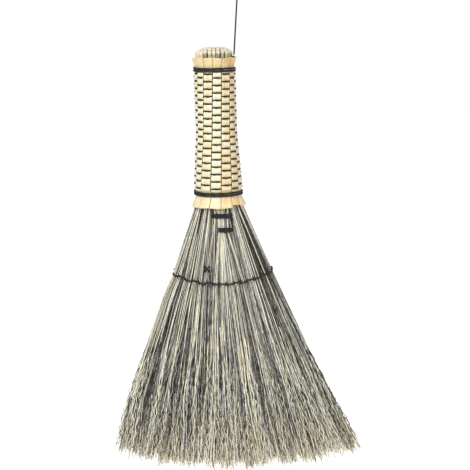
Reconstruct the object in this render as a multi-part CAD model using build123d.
from build123d import *
from math import asin, atan2, ceil, cos, hypot, pi, radians, sin, tan
import os

# A hand broom of broomcorn. Nineteen broomcorn heads stand side by side: their stalks are the
# core of the handle, and their fibres fan out into the brush. Fifteen split stalks, the splints,
# lie round the core, and one waxed cord is plaited over and under them in a long spiral. Cord
# whippings hold both ends of the plait, a cord ties the middle heads below it, and a band sewn
# through the brush keeps the fan flat. A cord loop hangs the broom up.
#
# Everything is drawn about the handle's axis. Z is up and zero at the cut top of the core, the
# front is -Y, and a "drop" is a depth below that top. At the end the part is moved so that its
# origin is the point where the loop hangs on its peg. Lengths are in millimetres.

# Gap between pieces that lie on each other, and the angle within which a run counts as straight
piece_gap = 0.3
line_tolerance = 0.5

# Core of the handle
stalk_d = 5.7
stalk_gap = 0.05
stalk_sides = 8
core_columns = (3, 4, 5, 4, 3)
straight_drop = 78.0
neck_drop = 120.2
neck_core_d = 34.6
neck_run = 2.6
core_dome = 3.4
core_cut_tilt = 0.5

# Throat of each head, where its stalk ends and its fibres begin
throat_drop = 129.0
throat_d = 39.0
throat_gap = 0.3
chamfer_share = 0.35

# Brush, given as half sizes at the sewn line and at the tips
sewn_drop = 194.4
sewn_half_w = 44.7
sewn_half_d = 16.0
tip_drop = 336.0
tip_half_w = 99.4
tip_half_d = 22.0
tip_shift = 8.5
sewn_shift = 1.4
tip_centre_drop = 350.0
tip_corner_drop = 344.0
tip_ragged = 9.0
column_depth_shares = (0.75, 0.95, 1.0, 0.95, 0.75)

# Strands of the brush
slabs_per_head = 3
strands_per_slab = 2
rows_per_head = 3
strand_root_w = 1.0
strand_sewn_w = 1.85
strand_tip_w = 1.3
strand_overlap = 1.0
strand_depth_share = 1.05

# Splints
splint_count = 15
splint_turn = -3.7
splint_t = 1.5
splint_gap = 0.4
splint_top_drop = 7.2
splint_top_flare = 2.8
splint_end_drop = 130.6
splint_end_flare = 3.9
crown_half_w = 1.25

# Plaiting cord and the plait
cord_d = 1.1
cord_clear = 0.08
plait_first_drop = 21.4
plait_pitch = 3.02
plait_crossings = 472
over_half_w = 1.4
raised_lift = 1.1
hollow_lift = 0.5

# Whippings at the two ends of the plait
whip_turns = 3
whip_gap = 0.45
top_whip_drop = 17.2
whip_clear = 0.12

# Tie round the gathered heads in front, below the handle
upper_tie_drop = 136.0
lower_tie_drop = 148.8
tie_turns = 3
gather_drop = 133.4
left_bend_drop = 138.4
left_end_drop = 142.0
stem_end_drop = 152.4
tie_clear = 0.3
tie_cord_d = 1.1
tie_corner_r = 1.7

# Band sewn through the brush
band_cord_d = 1.2
band_clear = 0.35
band_rise = 9.0
thread_d = 0.9
thread_clear = 0.3
knot_d = 2.6
knot_drop = 180.8
knot_place_shares = (-0.70, -1.045)
band_corner_share = 0.45

# Hanging loop
loop_cord_d = 1.2
loop_exit_x = 16.4
loop_exit_y = -2.8
loop_exit_drop = 5.5
loop_length = 58.8
loop_lean = 4.8
loop_strand_gap = 0.6
peg_d = 5.0
tail_bend_x = 13.5
tail_bend_drop = 14.0
tail_end_drop = 19.0
tail_bend_r = 4.0

stalk_pitch = stalk_d + stalk_gap
core_r = stalk_pitch * (max(core_columns) - 1) / 2 + stalk_d / 2
column_share = cos(pi / 6)
throat_pitch = throat_d / max(core_columns)
column_count = len(core_columns)
slab_count = column_count * slabs_per_head
splint_step = 2 * pi / splint_count
whip_pitch = cord_d + whip_gap
inner_heads = [(1, 1), (1, 2), (2, 1), (2, 2), (2, 3), (3, 1), (3, 2)]


# Small helpers

def swell(drop):
    """Size of the core at a depth, as a share of its size at the top."""
    if drop <= straight_drop:
        return 1.0
    full = neck_core_d / 2 / core_r
    return 1 + (full - 1) * min(1, (drop - straight_drop) / (neck_drop - straight_drop))


def seat_radius(drop):
    """Radius on which a splint is pressed against the core."""
    return core_r * swell(drop) + piece_gap


def round_point(turn, radius, drop):
    """Point at an angle from the front, counted towards +X, round the handle's axis."""
    return Vector(radius * sin(turn), -radius * cos(turn), -drop)


def splint_point(turn, across, out, drop):
    """Point in a splint's own frame: across its width and out from the handle's axis."""
    x = out * sin(turn) + across * cos(turn)
    y = across * sin(turn) - out * cos(turn)
    return Vector(x, y, -drop)


def polygon_loft(sections):
    """Ruled solid through closed polygons that have as many corners each."""
    wires = [Wire.make_polygon(section, close=True) for section in sections]
    return Solid.make_loft(wires, ruled=True)


def faceted_cord(points, diameter, sides=4):
    """Cord of flat facets through points, mitred at each one."""
    runs = [(end - start).normalized() for start, end in zip(points, points[1:])]
    across = Vector(0, 0, 1) - runs[0] * runs[0].Z
    across = across.normalized() * (diameter / 2)
    ring = [points[0] + across.rotate(Axis((0, 0, 0), runs[0]), 360 * side / sides)
            for side in range(sides)]
    rings = [ring]
    for number in range(1, len(points)):
        run = runs[number - 1]
        facing = run + runs[min(number, len(runs) - 1)]
        ring = [corner + run * ((points[number] - corner).dot(facing) / run.dot(facing))
                for corner in ring]
        rings.append(ring)
    outlines = [rings[0], rings[-1]]
    for ring, following in zip(rings, rings[1:]):
        for side in range(sides):
            other = (side + 1) % sides
            outlines.append([ring[side], ring[other], following[other], following[side]])
    faces = [Face(Wire.make_polygon(outline, close=True)) for outline in outlines]
    return Solid(Shell(faces))


def spread_number(seed):
    """A repeatable scattered number from 0 to 1."""
    golden_share = 0.6180339887
    mixed = (seed + 1) * golden_share * (1 + seed % 7)
    return mixed % 1


def biarc(start, start_dir, end, end_dir):
    """Two arcs that meet smoothly, from one point and direction to another."""
    chord = end - start
    both = start_dir + end_dir
    bend = 2 * (1 - start_dir.dot(end_dir))
    reach = (-chord.dot(both) + (chord.dot(both) ** 2 + bend * chord.dot(chord)) ** 0.5) / bend
    middle = (start + start_dir * reach + end - end_dir * reach) / 2
    middle_dir = ((end - end_dir * reach) - (start + start_dir * reach)).normalized()
    first = Edge.make_tangent_arc(start, start_dir, middle)
    second = Edge.make_tangent_arc(middle, middle_dir, end)
    return [first, second]


def smooth_path(knots):
    """Path through points with directions: straight where they are in line, else a biarc."""
    edges = []
    for (start, start_dir), (end, end_dir) in zip(knots, knots[1:]):
        in_line = start_dir.cross(end - start).length + end_dir.cross(end - start).length
        if in_line < tan(radians(line_tolerance)) * (end - start).length:
            edges.append(Edge.make_line(start, end))
        else:
            edges += biarc(start, start_dir, end, end_dir)
    return Wire(edges)


def cord_along(path, diameter, sides=6):
    """Faceted cord of one diameter swept along a path."""
    plane = Plane(origin=path @ 0, z_dir=path % 0)
    return sweep(plane * RegularPolygon(diameter / 2, sides), path=path)


def note_least_gap(name, path, diameter, samples, apart):
    """Print the least gap of a winding to itself, measured on points along its path."""
    points = [path @ (n / samples) for n in range(samples + 1)]
    skip = ceil(apart / (path.length / samples))
    least = min((p - q).length for n, p in enumerate(points) for q in points[n + skip:])
    print(f"{name}: least gap to itself {least - diameter:.2f}")


def note_radii(name, path):
    """Print the radii of a cord's arcs."""
    radii = [edge.radius for edge in path.edges() if edge.geom_type == GeomType.CIRCLE]
    print(f"{name}: radii " + " ".join(f"{radius:.1f}" for radius in radii))


def helix_knots(radius, pitch, turns, first_drop, first_turn):
    """Quarter-turn points of a falling helix, each with its direction."""
    knots = []
    for quarter in range(4 * turns + 1):
        turn = first_turn + quarter * pi / 2
        point = round_point(turn, radius, first_drop + pitch * quarter / 4)
        fall = pitch / (2 * pi)
        direction = Vector(radius * cos(turn), radius * sin(turn), -fall).normalized()
        knots.append((point, direction))
    return knots


# Broomcorn heads

def head_places():
    """Column and row of every head, counted from the left and from the front."""
    return [(column, row) for column, rows in enumerate(core_columns) for row in range(rows)]


def packed_place(column, row, pitch):
    """Centre of a head in the packing, at a pitch."""
    x = (column - (column_count - 1) / 2) * pitch * column_share
    y = (row - (core_columns[column] - 1) / 2) * pitch
    return x, y


def stalk_section(column, row, drop, top=False):
    """Round section of a stalk. The top one is cut a little askew."""
    x, y = packed_place(column, row, stalk_pitch * swell(drop))
    radius = stalk_d / 2 * swell(drop)
    points = []
    for corner in range(stalk_sides):
        turn = 2 * pi * (corner + 1 / 2) / stalk_sides
        px = radius * cos(turn)
        py = radius * sin(turn)
        away = (px * x + py * y) / core_r
        lift = -core_cut_tilt * away if top else 0
        points.append(Vector(x + px, y + py, -drop + lift))
    return points


def block_section(x, y, half_w, half_d, drop):
    """Eight-sided section of a throat or stem: a rectangle with its corners cut."""
    cut = chamfer_share * half_d
    outline = [(half_w, -half_d + cut), (half_w, half_d - cut), (half_w - cut, half_d),
               (-half_w + cut, half_d), (-half_w, half_d - cut), (-half_w, -half_d + cut),
               (-half_w + cut, -half_d), (half_w - cut, -half_d)]
    # The stalk's first corner lies half a step past +X, as the second one does here.
    order = outline[1:] + outline[:1]
    return [Vector(x + px, y + py, -drop) for px, py in order]


# Heads gathered in front: each station is drop, x, y, half width and half depth, all but the drop
# in shares of the throat's pitch.
stem_shares = {
    (1, 0): [(gather_drop, -0.50, -2.02, 0.33, 0.30), (left_bend_drop, -0.52, -2.04, 0.33, 0.30),
             (left_end_drop, -0.78, -2.04, 0.30, 0.28)],
    (2, 0): [(gather_drop, 0.20, -2.25, 0.33, 0.30), (stem_end_drop, 0.20, -2.25, 0.33, 0.30)],
    (3, 0): [(gather_drop, 0.90, -2.02, 0.33, 0.30), (stem_end_drop, 0.90, -2.02, 0.33, 0.30)],
}


def strand_ends(column, row, slab, side, layer, root):
    """Centres of one strand at its root, at the sewn line and at the tip's level."""
    root_x, root_y, root_half_w, root_half_d = root
    across = slab * strands_per_slab + side
    across_count = slabs_per_head * strands_per_slab
    root_w = min(strand_root_w, 2 * root_half_w / across_count - stalk_gap)
    x0 = root_x + (across - (across_count - 1) / 2) * 2 * root_half_w / across_count
    y0 = root_y + (layer - (rows_per_head - 1) / 2) * 2 * root_half_d / rows_per_head

    level = rows_per_head * row + layer
    levels = rows_per_head * core_columns[column]
    depth_share = 2 * level / (levels - 1) - 1
    slab_place = column * slabs_per_head + slab - (slab_count - 1) / 2
    sewn_slab_w = 2 * sewn_half_w / slab_count
    sewn_pitch = strand_sewn_w + 2 * stalk_gap
    x1 = sewn_shift + slab_place * sewn_slab_w + (side - 1 / 2) * sewn_pitch
    y1 = depth_share * (sewn_half_d * column_depth_shares[column] - strand_sewn_w / 2)

    tip_slab_w = 2 * tip_half_w / slab_count
    stagger = (level % 3 - 1) * tip_slab_w / 6
    x2 = tip_shift + slab_place * tip_slab_w + (side - 1 / 2) * tip_slab_w / 2 + stagger
    y2 = depth_share * tip_half_d * column_depth_shares[column]
    return root_w, (x0, y0), (x1, y1), (x2, y2)


def strand(column, row, slab, side, layer, root, root_drop):
    """One three-sided strand from its throat through the sewn line to its ragged tip."""
    root_w, p0, p1, p2 = strand_ends(column, row, slab, side, layer, root)
    seed = 97 * column + 31 * row + 11 * slab + 5 * side + 2 * layer
    outwards = min(1, abs(p2[0] - tip_shift) / tip_half_w)
    full = tip_centre_drop + (tip_corner_drop - tip_centre_drop) * outwards ** 2
    end_drop = full - tip_ragged * spread_number(seed)
    along = (end_drop - sewn_drop) / (tip_drop - sewn_drop)
    tip = [a + (b - a) * along for a, b in zip(p1, p2)]
    facing = 1 if layer % 2 else -1
    sections = []
    inside_drop = root_drop - strand_overlap
    for (x, y), width, drop in ((p0, root_w, inside_drop), (p1, strand_sewn_w, sewn_drop),
                                (tip, strand_tip_w, end_drop)):
        half = width / 2
        depth = half * strand_depth_share * facing
        sections.append([Vector(x - half, y - depth, -drop), Vector(x + half, y - depth, -drop),
                         Vector(x, y + depth, -drop)])
    return polygon_loft(sections)


def broomcorn_head(column, row):
    """One head: its stalk in the core, its throat and the strands of its brush."""
    x, y = packed_place(column, row, stalk_pitch)
    fall = core_dome * (hypot(x, y) / core_r) ** 2
    top_drop = fall + core_dome / 2 * spread_number(13 * column + row)
    neck_end = neck_drop + neck_run
    sections = [stalk_section(column, row, top_drop, top=True),
                stalk_section(column, row, straight_drop),
                stalk_section(column, row, neck_drop),
                stalk_section(column, row, neck_end)]
    tx, ty = packed_place(column, row, throat_pitch)
    half_w = (throat_pitch * column_share - throat_gap) / 2
    half_d = (throat_pitch - throat_gap) / 2
    sections.append(block_section(tx, ty, half_w, half_d, throat_drop))
    end_drop = throat_drop
    for station in stem_shares.get((column, row), ()):
        end_drop = station[0]
        tx, ty, half_w, half_d = [share * throat_pitch for share in station[1:]]
        sections.append(block_section(tx, ty, half_w, half_d, end_drop))
    backing = polygon_loft(sections)
    root = (tx, ty, half_w - stalk_gap, half_d - stalk_gap)
    layers = range(rows_per_head)
    if (column, row) in inner_heads:
        layers = range(0, rows_per_head, rows_per_head - 1)
    strands = [strand(column, row, slab, side, layer, root, end_drop)
               for slab in range(slabs_per_head)
               for side in range(strands_per_slab)
               for layer in layers]
    return backing.fuse(*strands)


# Splints

def splint_section(number, drop, flare=0, raised=False):
    """Section of a half-round split stalk. Where it rises over the cord it is cupped."""
    turn = radians(splint_turn) + number * splint_step
    seat = seat_radius(drop) + flare + (raised_lift if raised else 0)
    edge = seat + (hollow_lift if raised else 0)
    half_w = (seat + splint_t / 2) * tan(splint_step / 2) - splint_gap / 2
    outline = [(-crown_half_w, seat + splint_t), (crown_half_w, seat + splint_t),
               (half_w, edge), (-half_w, edge)]
    return [splint_point(turn, across, out, drop) for across, out in outline]


def splint(number):
    """One splint: flared plain top, wave through the plait, and flared plain end."""
    whip_half = (whip_turns * whip_pitch + cord_d) / 2
    middle_drop = (splint_top_drop + top_whip_drop - whip_half) / 2
    sections = [splint_section(number, splint_top_drop, flare=splint_top_flare),
                splint_section(number, middle_drop, flare=splint_top_flare / 3),
                splint_section(number, top_whip_drop - whip_half),
                splint_section(number, top_whip_drop + whip_half)]
    for crossing in range(number, plait_crossings, splint_count):
        drop = plait_first_drop + plait_pitch * crossing / splint_count
        sections.append(splint_section(number, drop, raised=crossing % 2 == 1))
    middle_drop = (splint_end_drop + neck_drop + whip_half) / 2
    sections += [splint_section(number, neck_drop - whip_half),
                 splint_section(number, neck_drop + whip_half),
                 splint_section(number, middle_drop, flare=splint_end_flare / 2),
                 splint_section(number, splint_end_drop, flare=splint_end_flare)]
    return polygon_loft(sections)


# Cords of the handle

def plaiting_cord():
    """The plaiting cord: one spiral, over one splint and under the next."""
    points = []
    for crossing in range(plait_crossings):
        drop = plait_first_drop + plait_pitch * crossing / splint_count
        turn = radians(splint_turn) + crossing * splint_step
        seat = seat_radius(drop)
        out = seat + raised_lift - cord_clear - cord_d / 2
        places = [(0, out)]
        if crossing % 2 == 0:
            out = seat + splint_t + cord_clear + cord_d / 2
            places = [(-over_half_w, out), (over_half_w, out)]
        for across, out in places:
            here = drop + plait_pitch * atan2(across, out) / (2 * pi)
            points.append(splint_point(turn, across, out, here))
    return faceted_cord(points, cord_d)


def whipping(name, drop):
    """Cord whipped round the splints at one end of the plait."""
    seat = seat_radius(drop + whip_turns * whip_pitch / 2)
    radius = hypot(seat + splint_t, crown_half_w) + whip_clear + cord_d / 2
    first = drop - whip_turns * whip_pitch / 2
    path = smooth_path(helix_knots(radius, whip_pitch, whip_turns, first, pi / 2))
    note_least_gap(name, path, cord_d, 48 * whip_turns, radius * pi)
    return cord_along(path, cord_d, sides=4)


# Tie in front

def tie_sides(first, last):
    """Left and right of the tie's cord round a row of gathered heads, and its front and back."""
    room = tie_clear + tie_cord_d / 2
    left = (stem_shares[first][0][1] - stem_shares[first][0][3]) * throat_pitch - room
    right = (stem_shares[last][0][1] + stem_shares[last][0][3]) * throat_pitch + room
    stations = [stem_shares[head][0] for head in stem_shares]
    front = min(y - half_d for _, _, y, _, half_d in stations) * throat_pitch - room
    back = max(y + half_d for _, _, y, _, half_d in stations) * throat_pitch + room
    return left, right, front, back


def tie_wrap(first, last, middle_drop):
    """Corner points of the tie's turns round a row of gathered heads, from front left down."""
    left, right, front, back = tie_sides(first, last)
    pitch = tie_cord_d + whip_gap
    corners = [(left, front), (right, front), (right, back), (left, back)]
    points = []
    for quarter in range(4 * tie_turns + 2):
        x, y = corners[quarter % 4]
        drop = middle_drop + pitch * (quarter / 4 - tie_turns / 2)
        points.append(Vector(x, y, -drop))
    return points


def centre_tie():
    """One cord, from under the collar round three gathered heads, then round two of them."""
    upper = tie_wrap((1, 0), (3, 0), upper_tie_drop)
    lower = tie_wrap((2, 0), (3, 0), lower_tie_drop)
    start = Vector(upper[0].X, upper[0].Y + piece_gap, -splint_end_drop - tie_cord_d)
    points = [start] + upper + lower[1:]
    path = FilletPolyline(*points, radius=tie_corner_r)
    note_least_gap("centre_tie", path, tie_cord_d, 80 * tie_turns, 2 * throat_pitch)
    return cord_along(path, tie_cord_d, sides=4)


# Sewn band of the brush

def spread_at(root, sewn, drop):
    """Where a straight line from the throat to the sewn line is at a depth."""
    return root + (sewn - root) * (drop - throat_drop) / (sewn_drop - throat_drop)


def brush_half_w(drop):
    """Half the brush's width at a depth above the sewn line."""
    root = packed_place(column_count - 1, 0, throat_pitch)[0] + throat_pitch * column_share / 2
    return spread_at(root, sewn_half_w, drop)


def band_reach():
    """Half width of the band's route at its high ends."""
    return brush_half_w(sewn_drop - band_rise) + band_clear + band_cord_d / 2


# Band's route, front half, from left to right: shares of its reach across, of the brush's half
# depth and of its rise at the ends.
band_shares = [(-1.01, 0.35, 0.98), (-0.95, 0.94, 0.90), (-0.52, 1.08, 0.27), (0, 1.12, 0),
               (0.52, 1.08, 0.27), (0.95, 0.94, 0.90), (1.01, 0.35, 0.98)]


def band_place(x):
    """Depth of the band below the core top and how far it stands out, at a place across."""
    room = band_clear + band_cord_d / 2
    share = min(max(x / band_reach(), band_shares[0][0]), band_shares[-1][0])
    for (a, depth_a, rise_a), (b, depth_b, rise_b) in zip(band_shares, band_shares[1:]):
        if share <= b:
            break
    along = (share - a) / (b - a)
    depth = depth_a + (depth_b - depth_a) * along
    rise = rise_a + (rise_b - rise_a) * along
    return sewn_drop - band_rise * rise, sewn_half_d * depth + room


def stitch_band():
    """Band of cord round the brush. Its two ends lie one above the other at the left."""
    def place(share, side):
        x = share * band_reach()
        drop, out = band_place(x)
        return Vector(x + sewn_shift, side * out, -drop)

    front = [place(shares[0], -1) for shares in band_shares]
    back = [place(shares[0], 1) for shares in reversed(band_shares)]
    lap = Vector(0, 0, band_cord_d + piece_gap)
    tail = front[0] - Vector(0, front[0].Y, 0) + lap
    points = front + back + [tail]
    path = FilletPolyline(*points, radius=corner_radii(points, band_corner_share))
    note_radii("stitch_band", path)
    return cord_along(path, band_cord_d)


def corner_radii(points, share):
    """Radius of each corner of a cord's route, from the shorter run and half the turn."""
    radii = []
    for before, corner, after in zip(points, points[1:], points[2:]):
        half_turn = radians((corner - before).get_angle(after - corner)) / 2
        radii.append(share * min((corner - before).length, (after - corner).length) / tan(half_turn))
    return radii


def slot_x(slot, drop):
    """Middle of the gap between two slabs of strands, at a depth above the sewn line."""
    sides = []
    for slab_number, side in ((slot, strands_per_slab - 1), (slot + 1, 0)):
        column, slab = divmod(slab_number, slabs_per_head)
        x, y = packed_place(column, 0, throat_pitch)
        half_w = (throat_pitch * column_share - throat_gap) / 2 - stalk_gap
        _, p0, p1, _ = strand_ends(column, 0, slab, side, 0, (x, y, half_w, half_w))
        sides.append(spread_at(p0[0], p1[0], drop))
    return sum(sides) / len(sides)


def stitch_thread():
    """Thread sewn to and fro through the brush, over the band in front and behind."""
    step = (band_cord_d + thread_d) / 2 + thread_clear
    turn = step / 2
    points = []
    for slot in range(slab_count - 1):
        x = slot_x(slot, band_place(slot_x(slot, sewn_drop) - sewn_shift)[0])
        drop, out = band_place(x - sewn_shift)
        out += step
        high, low = -drop + step, -drop - step
        x_high, x_low = slot_x(slot, -high), slot_x(slot, -low)
        if slot:
            points.append(Vector(x_high - turn, out, high))
        points += [Vector(x_high, out - turn, high), Vector(x_high, -out + turn, high),
                   Vector(x_high, -out, high - turn), Vector(x_low, -out, low + turn),
                   Vector(x_low, -out + turn, low), Vector(x_low, out - turn, low),
                   Vector(x_low + turn, out, low)]
    return faceted_cord(points, thread_d)


def stitch_knot():
    """Small knot of thread in front, made of two short ends that cross."""
    x, y = [share * sewn_half_d for share in knot_place_shares]
    ends = []
    for side in (-1, 1):
        start = Vector(x - knot_d / 2, y, -knot_drop - side * knot_d / 2)
        end = Vector(x + knot_d / 2, y, -knot_drop + side * knot_d / 2)
        ends.append(faceted_cord([start, end], thread_d))
    return ends[0].fuse(ends[1])


# Hanging loop

def loop_frame():
    """Exit of the loop, its direction and the point where it hangs on its peg."""
    start = Vector(loop_exit_x, loop_exit_y, -loop_exit_drop)
    lean = Vector(sin(radians(loop_lean)), 0, cos(radians(loop_lean)))
    return start, lean, start + lean * loop_length


def loop_side():
    """Half the distance between the loop's two strands where they leave the handle."""
    return (loop_strand_gap + loop_cord_d) / 2


def hang_loop():
    """The loop: up from the handle, over the peg and down again."""
    start, lean, hang = loop_frame()
    across = Vector(0, 1, 0)
    centre = hang - lean * (peg_d / 2)
    bend_r = (peg_d + loop_cord_d) / 2
    reach = loop_length - peg_d / 2
    far = hypot(reach, loop_side())
    opening = asin(bend_r / far) - atan2(loop_side(), reach)
    tangent_side = bend_r * cos(opening)
    tangent_drop = bend_r * sin(opening)
    left = centre - across * tangent_side - lean * -tangent_drop
    right = centre + across * tangent_side - lean * -tangent_drop
    edges = [Edge.make_line(start - across * loop_side(), left),
             Edge.make_three_point_arc(left, centre + lean * bend_r, right),
             Edge.make_line(right, start + across * loop_side())]
    print(f"hang_loop: radii {bend_r:.1f}")
    return cord_along(Wire(edges), loop_cord_d)


def loop_ends():
    """The loop's two ends, tucked in between the core and the splints under the whipping."""
    start = loop_frame()[0]
    bend = Vector(tail_bend_x, loop_exit_y, -tail_bend_drop)
    down = (bend - start).normalized()
    top = start + down * (loop_cord_d / 2 + piece_gap)
    end = Vector(tail_bend_x, loop_exit_y, -tail_end_drop)
    ends = []
    for side in (-1, 1):
        shift = Vector(0, side * loop_side(), 0)
        path = FilletPolyline(top + shift, bend + shift, end + shift, radius=tail_bend_r)
        ends.append(cord_along(path, loop_cord_d))
    return Compound(ends)


def main():
    """Build every piece, move it to the hang point's frame and write it."""
    pieces = {}
    for number, (column, row) in enumerate(head_places(), start=1):
        pieces[f"broomcorn_head_{number:02d}"] = broomcorn_head(column, row)
    for number in range(splint_count):
        pieces[f"splint_{number + 1:02d}"] = splint(number)
    pieces["plaiting_cord"] = plaiting_cord()
    pieces["top_whipping"] = whipping("top_whipping", top_whip_drop)
    pieces["lower_whipping"] = whipping("lower_whipping", neck_drop)
    pieces["centre_tie"] = centre_tie()
    pieces["stitch_band"] = stitch_band()
    pieces["stitch_thread"] = stitch_thread()
    pieces["stitch_knot"] = stitch_knot()
    pieces["loop_ends"] = loop_ends()
    pieces["hang_loop"] = hang_loop()

    os.makedirs("parts", exist_ok=True)
    _, _, hang = loop_frame()
    print(f"handle's axis and core top from the hang point: {-hang.X:.2f} {-hang.Y:.2f} {-hang.Z:.2f}")
    for name, shape in pieces.items():
        export_step(shape.moved(Location(-hang)), f"parts/{name}.step")


if __name__ == "__main__":
    main()
